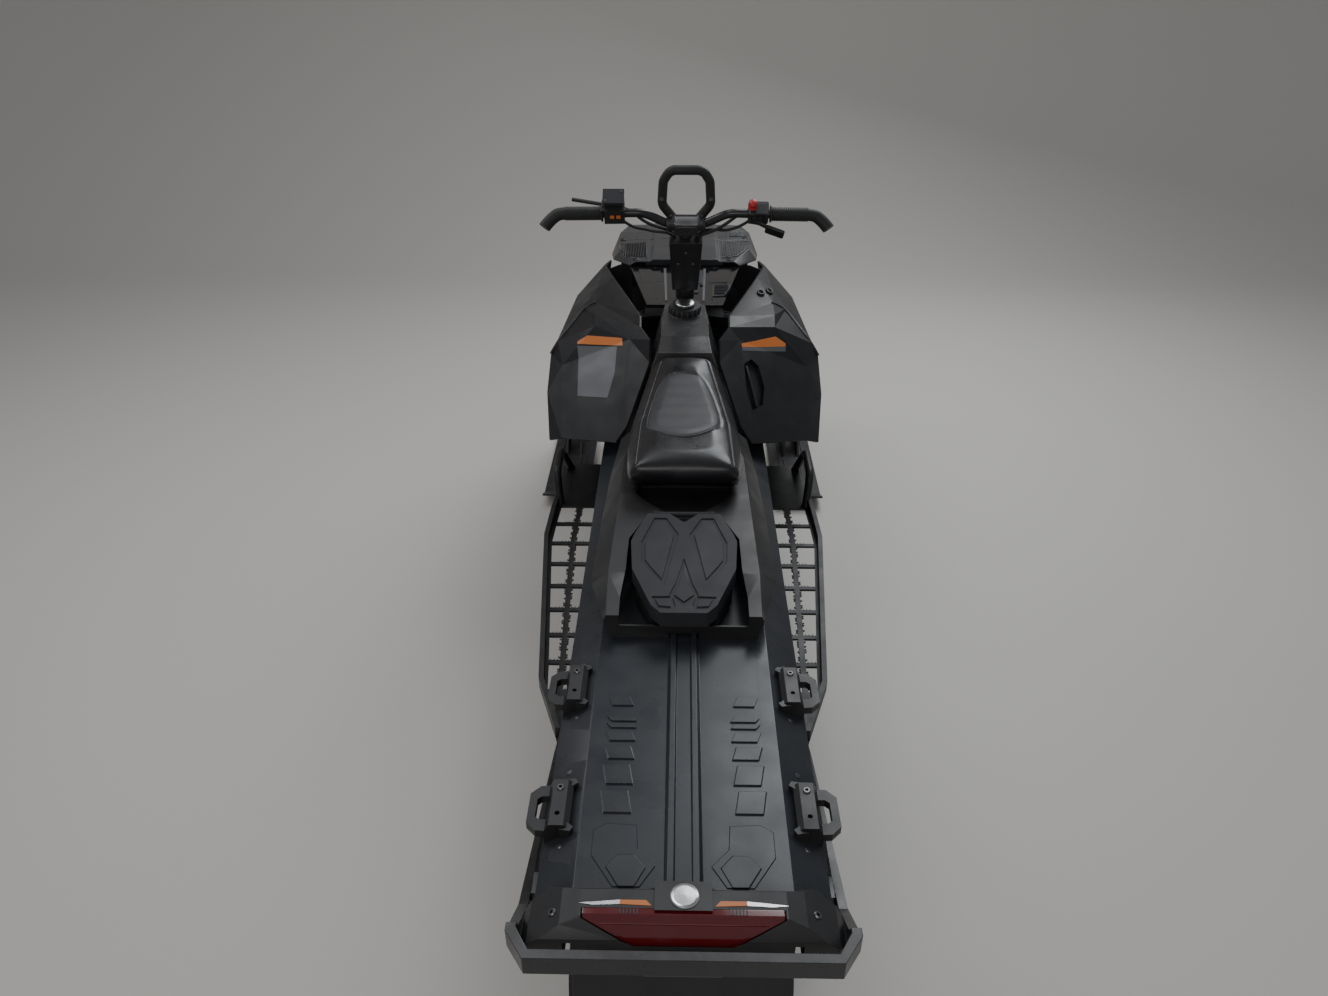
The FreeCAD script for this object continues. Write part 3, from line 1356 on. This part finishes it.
def make_ski(label, side):
    """Deck, two saddle walls for the bolt and the keel, from a side profile and pads."""
    body = new_body(label)
    x, half, wall = s.ski_x * side, s.ski_half, s.ski_sheet
    keel, tail, tip = s.keel, s.ski_tail, s.front_reach
    bottom = [(tail, keel + 26), (tail + 60, keel), (tip - 300, keel), (tip - 170, keel + 34), (tip - 60, keel + 104), (tip, s.tip_rise)]
    top = [(y, z + wall) for y, z in bottom]
    top[-1] = (tip, s.tip_rise + wall)
    pad(body, "YZ_Plane", [bottom + top[::-1]], x - half, half * 2)
    deep = keel + wall / 2
    keel_side = [(tail + 90, 0), (tip - 330, 0), (tip - 260, deep), (tail + 60, deep)]
    pad(body, "YZ_Plane", [keel_side], x - 14, 28)
    y, z = s.ski_bolt_y, s.ski_bolt_height
    saddle = [(y - 110, keel + wall - 1), (y + 110, keel + wall - 1), (y + 26, z + 16), (y - 26, z + 16)]
    for start in (x - 32, x + 22):
        pad(body, "YZ_Plane", [saddle], start, 10)
    # Plan shape: the tips and tails narrow.
    taper = [(x + 48, tip + 5), (x + half + 5, tip + 5), (x + half + 5, tip - 210), (x + half, tip - 210)]
    other = [(2 * x - px, py) for px, py in taper]
    pocket(body, "XY_Plane", [taper, other], s.tip_rise + 60, s.tip_rise + 80)
    return body


def tie_rod_end():
    """Centre of the tie rod's right eye, over the end of the steering arm."""
    axis = kingpin(1) - kingpin(0)
    axis.normalize()
    return kingpin(176) + vec(0, -axis.z, axis.y) * s.steer_arm + axis * (14 + s.gap)


def make_tie_rods():
    axis = kingpin(1) - kingpin(0)
    axis.normalize()
    end = tie_rod_end()
    run = [vec(-end.x, end.y, end.z), end]
    bar = rod(run[0], run[1], s.tie_radius)
    eyes = [Part.makeCylinder(11, 16, p - axis * 8, axis) for p in run]
    return feature("tie_rods", bar.multiFuse(eyes))


# Track and rear suspension


def wheels_of_track():
    """The circles that the belt's inner face follows, as (y, z, radius), in the order of its run."""
    ground = s.lug + s.belt
    return (
        (-s.idler_y, ground + s.idler_radius, s.idler_radius),
        (60.0, ground + s.nose_radius, s.nose_radius),
        (float(s.drive_y), float(s.drive_z), s.sprocket_radius),
    )


def tangents(offset):
    """Straight runs of the loop at a distance outside the belt's inner face."""
    circles = [(vec(0, y, z), r + offset) for y, z, r in wheels_of_track()]
    runs = []
    for (here, r1), (there, r2) in zip(circles, circles[1:] + circles[:1]):
        way = there - here
        length = way.Length
        way.normalize()
        right = vec(0, way.z, -way.y)
        along = (r1 - r2) / length
        out = way * along + right * math.sqrt(1 - along * along)
        runs.append((here + out * r1, there + out * r2, out))
    return circles, runs


def loop_wire(offset):
    circles, runs = tangents(offset)
    edges = []
    for index, (start, end, out) in enumerate(runs):
        edges.append(Part.makeLine(start, end))
        centre, radius = circles[(index + 1) % len(circles)]
        after = runs[(index + 1) % len(runs)]
        turn = math.atan2(after[2].z, after[2].y) - math.atan2(out.z, out.y)
        turn %= 2 * math.pi
        first = math.atan2(out.z, out.y)
        middle = centre + vec(0, math.cos(first + turn / 2), math.sin(first + turn / 2)) * radius
        edges.append(Part.Arc(end, middle, after[0]).toShape())
    return Part.Wire(edges)


def make_track():
    """One belt loop with rows of lugs that stand alternately in the middle and at the sides."""
    half, middle = s.track_half, s.track_half * 0.46
    outer = loop_wire(s.belt)
    band = Part.Face(outer).cut(Part.Face(loop_wire(0)))
    band.translate(vec(-half, 0, 0))
    pieces = [band.extrude(vec(2 * half, 0, 0))]
    root, tip, sunk = 15, 8, s.belt / 2
    for number, place in enumerate(outer.discretize(Number=int(round(s.lug_count)) + 1)[:-1]):
        near = min(outer.Edges, key=lambda edge: edge.distToShape(Part.Vertex(place))[0])
        along = near.tangentAt(near.Curve.parameter(place))
        out = vec(0, along.z, -along.y)
        lug = [
            place - along * root - out * sunk, place + along * root - out * sunk,
            place + along * tip + out * s.lug, place - along * tip + out * s.lug,
        ]
        columns = ((-middle, middle),) if number % 2 else ((-half, -middle), (middle, half))
        for start, end in columns:
            pieces.append(plate([point + vec(start, 0, 0) for point in lug], vec(end - start, 0, 0)))
    return feature("track", fused(pieces))


def make_drive_axle():
    centre = vec(0, s.drive_y, s.drive_z)
    half = s.tunnel_half - s.tunnel_sheet
    shaft = rod(centre - X_AXIS * half, centre + X_AXIS * half, s.axle_radius)
    cogs = []
    for x in (-115, -35, 35, 115):
        cogs.append(Part.makeCylinder(s.sprocket_radius, 22, centre + vec(x - 11, 0, 0), X_AXIS))
    return feature("drive_axle", shaft.multiFuse(cogs))


def make_slide_rails():
    ground = s.lug + s.belt
    rise, radius = s.rail_rise, s.nose_radius
    y0, centre = 60.0, ground + s.nose_radius
    reach = math.radians(40)
    rear = -s.idler_y - 40
    edges = []

    def on(r, angle):
        return vec(0, y0 + r * math.sin(angle), centre - r * math.cos(angle))

    points = [vec(0, rear + 42, ground), vec(0, y0, ground)]
    edges.append(Part.makeLine(*points))
    edges.append(Part.Arc(points[1], on(radius, reach / 2), on(radius, reach)).toShape())
    edges.append(Part.makeLine(on(radius, reach), on(radius - rise + 20, reach)))
    edges.append(Part.Arc(on(radius - rise + 20, reach), on(radius - rise + 12, reach * 0.5), on(radius - rise, 0)).toShape())
    top = ground + rise
    tail = [
        on(radius - rise, 0), vec(0, -s.idler_y + 90, top), vec(0, -s.idler_y + 40, ground + s.idler_radius + 26),
        vec(0, rear + 10, ground + s.idler_radius + 26), vec(0, rear, ground + 40), points[0],
    ]
    edges += [Part.makeLine(a, b) for a, b in zip(tail, tail[1:])]
    profile = Part.Face(Part.Wire(edges))
    profile.translate(vec(s.rail_x - s.rail_wall / 2, 0, 0))
    rail = profile.extrude(vec(s.rail_wall, 0, 0))
    for y, z, bore in rail_axles():
        rail = rail.cut(Part.makeCylinder(bore, 400, vec(-200, y, z), X_AXIS))
    return feature("slide_rails", both(rail))


def rail_axles():
    """Axles carried by the slide rails, as (y, z, radius)."""
    ground = s.lug + s.belt
    rows = [(-s.idler_y, ground + s.idler_radius, s.axle_radius)]
    return rows + [(y, ground + 62, 9) for y in (-760, -240)]


def wheel(radius, x, y, z, width, bore):
    """A dished wheel round an axle."""
    rim = Part.makeCylinder(radius, width, vec(x - width / 2, y, z), X_AXIS)
    dish = Part.makeCylinder(radius - 14, width, vec(x - width / 2, y, z), X_AXIS)
    web = Part.makeCylinder(radius - 13, 6, vec(x - 3, y, z), X_AXIS)
    hub = Part.makeCylinder(24, width, vec(x - width / 2, y, z), X_AXIS)
    hole = Part.makeCylinder(bore, width + 2, vec(x - width / 2 - 1, y, z), X_AXIS)
    return rim.cut(dish).multiFuse([web, hub]).cut(hole)


def upper_run(y):
    """Height of the belt's inner face on its upper run."""
    _, runs = tangents(0)
    start, end, _ = runs[-1]
    return start.z + (end.z - start.z) * (y - start.y) / (end.y - start.y)


def make_wheels():
    ground = s.lug + s.belt
    wheels = []
    rear = (-s.idler_y, ground + s.idler_radius)
    for x in (-s.rail_x - 34, 0, s.rail_x + 34):
        wheels.append(wheel(s.idler_radius, x, rear[0], rear[1], s.wheel_width, s.axle_radius))
    shaft = rod(vec(-s.rail_x - 50, rear[0], rear[1]), vec(s.rail_x + 50, rear[0], rear[1]), s.axle_radius)
    whole = [fused(wheels + [shaft])]
    y = -s.carrier_y
    z = upper_run(y) - s.carrier_radius * 1.01
    half = s.tunnel_half - s.tunnel_sheet
    carriers = [wheel(s.carrier_radius, x, y, z, s.wheel_width, s.axle_radius) for x in (-120, 120)]
    carriers.append(rod(vec(-half, y, z), vec(half, y, z), s.axle_radius))
    whole.append(fused(carriers))
    for y in (-760, -240):
        pair = []
        for x in (-s.rail_x - 22, s.rail_x + 22):
            pair.append(wheel(62, x, y, ground + 62, 22, 9))
        pair.append(rod(vec(-s.rail_x - 33, y, ground + 62), vec(s.rail_x + 33, y, ground + 62), 9))
        whole.append(fused(pair))
    return feature("idler_wheels", Part.makeCompound(whole))


def make_skid_arms():
    """Two swing arms between the tunnel's walls and the slide rails."""
    ground = s.lug + s.belt
    half = s.tunnel_half - s.tunnel_sheet
    inner = s.rail_x - s.rail_wall / 2
    arms = []
    for top_y, top_z, low_y, spread in ((130, 296, -90, 60), (-560, 270, -960, 66)):
        high, low = vec(0, top_y, top_z), vec(0, low_y, ground + 34)
        shafts = [
            rod(high - X_AXIS * half, high + X_AXIS * half, s.axle_radius),
            rod(low - X_AXIS * inner, low + X_AXIS * inner, s.axle_radius),
        ]
        legs = [rod(high + X_AXIS * x, low + X_AXIS * x, 10) for x in (-spread, spread)]
        arms.append(fused(shafts + legs))
    return feature("skid_arms", Part.makeCompound(arms))


def skid_shock_lines():
    ground = s.lug + s.belt
    return (
        (vec(0, -90, ground + 34), vec(0, 130, 296)),
        (vec(0, -960, ground + 34), vec(0, -560, 270)),
    )


def make_shocks():
    """The four dampers and their springs: one at each ski, two between the slide rails."""
    shocks, springs = [], []
    low, high = vec(*SHOCK_LOW), vec(*SHOCK_HIGH)
    shock = shock_shape(low, high, s.shock_radius)
    spring = spring_shape(low, high, 0.2, 0.84, 7, s.shock_radius + 0.5, s.spring_radius)
    shocks += [shock, mirrored(shock)]
    springs += [spring, mirrored(spring)]
    for low, high in skid_shock_lines():
        run = high - low
        run.normalize()
        length = (high - low).Length
        start, end = low + run * s.axle_radius, high - run * s.axle_radius
        body = Part.makeCylinder(s.shock_radius, length * 0.5, end - run * length * 0.5, run)
        shocks.append(body.fuse(rod(start, end, 7)))
        springs.append(spring_shape(low, high, 0.2, 0.86, 6, s.shock_radius + 0.5, s.spring_radius))
    feature("shocks", Part.makeCompound(shocks))
    feature("springs", Part.makeCompound(springs))


# The model


make_tunnel()
make_running_board("running_board_left", -1)
make_running_board("running_board_right", 1)
make_rear_bumper()
make_tail_housing()
make_tail_lamp()
make_snow_flap()
make_cleats()
make_rear_cover()
make_storage_bin()
make_storage_lid()
seat = make_seat()
make_tank()
make_cap()
make_console()
hood = make_hood()
make_nose()
make_headlamps()
make_belly_pan()
make_side_panel("side_panel_left", -1)
make_side_panel("side_panel_right", 1)
make_bulkhead()
make_front_bumper()
make_engine()
make_steering_frame()
make_steering_post()
handlebar = make_handlebar()
make_grips()
make_column_cover()
make_grab_loop()
make_control("brake_control", -1, 52, 52, False)
make_control("throttle_control", 1, 52, 40, True)
make_control_arms()
make_shocks()
make_spindle("spindle_left", -1)
make_spindle("spindle_right", 1)
make_ski("ski_left", -1)
make_ski("ski_right", 1)
make_tie_rods()
make_track()
make_drive_axle()
make_slide_rails()
make_skid_arms()
make_wheels()

doc.recompute()

faults = []
for item in doc.Objects:
    if any(word in item.State for word in ("Invalid", "Error")):
        faults.append(f"{item.Label}: {item.State}")
for item in nodes:
    if item.Shape.isNull() or not item.Shape.isValid():
        faults.append(f"{item.Label}: shape not valid")
if faults:
    raise RuntimeError("; ".join(faults))

os.makedirs("parts", exist_ok=True)
for item in nodes:
    item.Shape.exportStep(os.path.join("parts", f"{item.Label}.step"))
    extent = item.Shape.BoundBox
    print(
        f"{item.Label}: {len(item.Shape.Solids)} solids, volume {item.Shape.Volume / 1000:.0f} cm3, "
        f"x {extent.XMin:.0f}..{extent.XMax:.0f} y {extent.YMin:.0f}..{extent.YMax:.0f} z {extent.ZMin:.0f}..{extent.ZMax:.0f}"
    )
print(len(nodes), "nodes")
